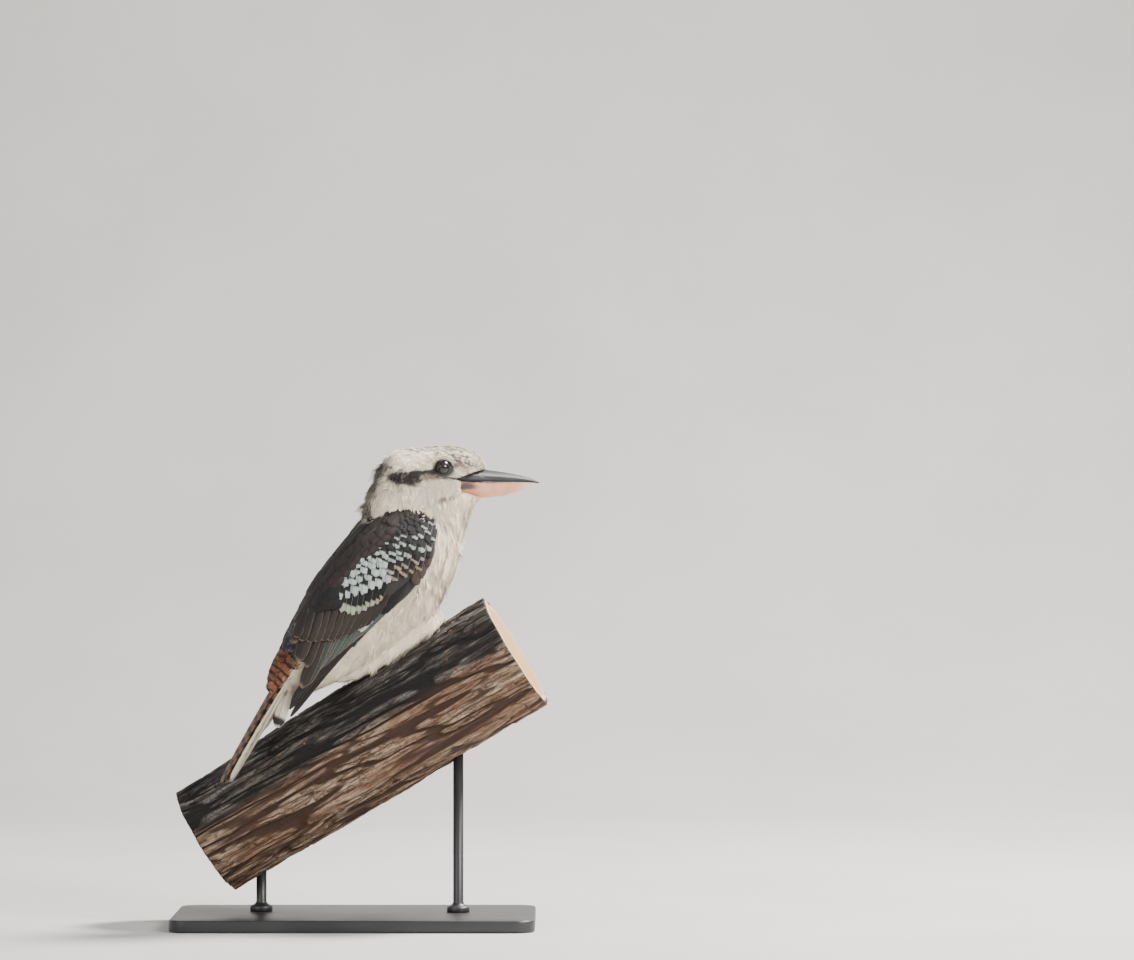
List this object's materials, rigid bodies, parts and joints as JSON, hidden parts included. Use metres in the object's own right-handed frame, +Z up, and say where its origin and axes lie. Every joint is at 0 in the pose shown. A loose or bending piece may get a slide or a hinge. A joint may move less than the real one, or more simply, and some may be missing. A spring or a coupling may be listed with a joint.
{
  "type": "laughing kookaburra model",
  "caption": "Life-size laughing kookaburra perched on a short cut length of sloping limb, held by two rods on a flat base.",
  "frame": {"origin": "middle of the underside of the stand's base", "axes": "+Z up; the bird's bill points along +X, turned 18 degrees towards +Y; its right side faces -Y"},
  "size_m": [0.3611, 0.19, 0.4652],
  "materials": {
    "plumage_white": "soft cream-white body feathers",
    "plumage_dark": "dark brown wing feathers",
    "plumage_rufous": "rufous tail feathers with black bars",
    "bill_dark": "smooth horn, blackish slate",
    "bill_horn": "smooth horn, pinkish orange",
    "eye": "wet-looking dark brown",
    "foot": "scaled grey-green skin",
    "bark": "furrowed bark with cut ends",
    "stand": "satin black paint"
  },
  "bodies": {
    "root": {"head": "plumage_white", "neck": "plumage_white", "torso": "plumage_white", "bill_upper": "bill_dark", "bill_lower": "bill_horn", "eye_right": "eye", "eye_left": "eye", "tail": "plumage_rufous", "wing_right": "plumage_dark", "wing_left": "plumage_dark", "leg_right": "foot", "leg_left": "foot", "perch": "bark", "stand_base": "stand", "stand_rod_low": "stand", "stand_rod_high": "stand"}
  },
  "joints": []
}
